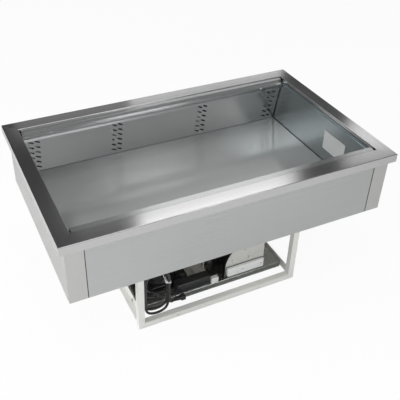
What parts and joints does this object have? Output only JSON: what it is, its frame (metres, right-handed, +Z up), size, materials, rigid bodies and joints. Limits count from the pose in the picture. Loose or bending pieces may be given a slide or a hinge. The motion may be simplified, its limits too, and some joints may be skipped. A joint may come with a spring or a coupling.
{
  "type": "refrigerated drop-in food well",
  "caption": "Drop-in refrigerated food well with a mitred rim, slotted air panel, false floor, white square-tube undercarriage and a condensing unit below.",
  "frame": {"origin": "on the floor plane at the underside of the undercarriage, under the middle of the rim", "axes": "+Z up, +X along the well to the operator's right, +Y from the operator's side to the air outlet side"},
  "size_m": [1.1, 0.674, 0.44],
  "materials": {
    "bearer_steel": "white powder coat",
    "black_paint": "semi gloss",
    "black_plastic": "fine grain",
    "condenser_fins": "dull",
    "copper": "drawn copper, dulled",
    "drain_steel": "satin",
    "fan_plastic": "moulded",
    "fin_aluminium": "plain fins",
    "floor_steel": "polished",
    "foam": "foamed in place",
    "galvanised": "galvanised",
    "grommet_rubber": "matt",
    "lead_sheath": "smooth sheath",
    "panel_steel": "bright rolled",
    "plate": "bare satin foil",
    "plug_plastic": "moulded",
    "rim_steel": "satin brushed along each rail",
    "screw_steel": "bright zinc",
    "shroud_paint": "semi gloss",
    "side_steel": "bright rolled",
    "skin_steel": "satin",
    "tank_steel": "bright rolled",
    "tie_nylon": "natural nylon",
    "white_paint": "powder coat",
    "white_plastic": "gloss"
  },
  "bodies": {
    "well": {"back_air_panel": "panel_steel", "base_bolts": "screw_steel", "base_tray": "galvanised", "bearer_left": "bearer_steel", "bearer_right": "bearer_steel", "cable_tie": "tie_nylon", "capillary_line": "copper", "compressor_foot_plate": "black_paint", "compressor_grommets": "grommet_rubber", "compressor_shell": "black_paint", "condenser_core": "condenser_fins", "condenser_fan_bracket": "galvanised", "condenser_fan_motor": "black_paint", "condenser_shroud": "shroud_paint", "condenser_side_front": "galvanised", "condenser_side_rear": "galvanised", "discharge_line": "copper", "drain_fitting": "drain_steel", "evaporator_coil": "fin_aluminium", "evaporator_fan_frames": "fan_plastic", "false_floor": "floor_steel", "filter_drier": "copper", "front_air_panel": "panel_steel", "insulation_foam": "foam", "junction_cover": "white_plastic", "lead_clamp": "black_plastic", "lip_rivets": "screw_steel", "liquid_line": "copper", "mains_lead_hank": "lead_sheath", "mains_lead_inlet": "lead_sheath", "mains_lead_tail": "lead_sheath", "mains_plug": "plug_plastic", "post_front_left": "white_paint", "post_front_right": "white_paint", "post_plate_screws": "screw_steel", "post_rear_left": "white_paint", "post_rear_right": "white_paint", "rail_front": "white_paint", "rail_rear": "white_paint", "rating_plate": "plate", "relay_box": "black_plastic", "rim_back": "rim_steel", "rim_front": "rim_steel", "rim_left": "rim_steel", "rim_right": "rim_steel", "side_panel_left": "side_steel", "side_panel_right": "side_steel", "skin_back": "skin_steel", "skin_bottom": "galvanised", "skin_front": "skin_steel", "skin_left": "skin_steel", "skin_right": "skin_steel", "suction_line": "copper", "tank_liner": "tank_steel", "terminal_cover": "black_plastic", "wire_connector": "white_plastic"},
    "evaporator_fan_1": {"evaporator_fan_rotor_1": "fan_plastic"},
    "evaporator_fan_2": {"evaporator_fan_rotor_2": "fan_plastic"},
    "evaporator_fan_3": {"evaporator_fan_rotor_3": "fan_plastic"},
    "condenser_fan": {"condenser_fan_blades": "fan_plastic"}
  },
  "joints": [
    {"name": "evaporator_fan_1_spin", "type": "hinge", "parent": "well", "child": "evaporator_fan_1", "pos_m": [-0.29, -0.2045, 0.2971], "axis": [0, 0.5538, 0.8326], "continuous": true},
    {"name": "evaporator_fan_2_spin", "type": "hinge", "parent": "well", "child": "evaporator_fan_2", "pos_m": [0, -0.2045, 0.2971], "axis": [0, 0.5538, 0.8326], "continuous": true},
    {"name": "evaporator_fan_3_spin", "type": "hinge", "parent": "well", "child": "evaporator_fan_3", "pos_m": [0.29, -0.2045, 0.2971], "axis": [0, 0.5538, 0.8326], "continuous": true},
    {"name": "condenser_fan_spin", "type": "hinge", "parent": "well", "child": "condenser_fan", "pos_m": [0.004, -0.122, 0.126], "axis": [1, 0, 0], "continuous": true}
  ]
}
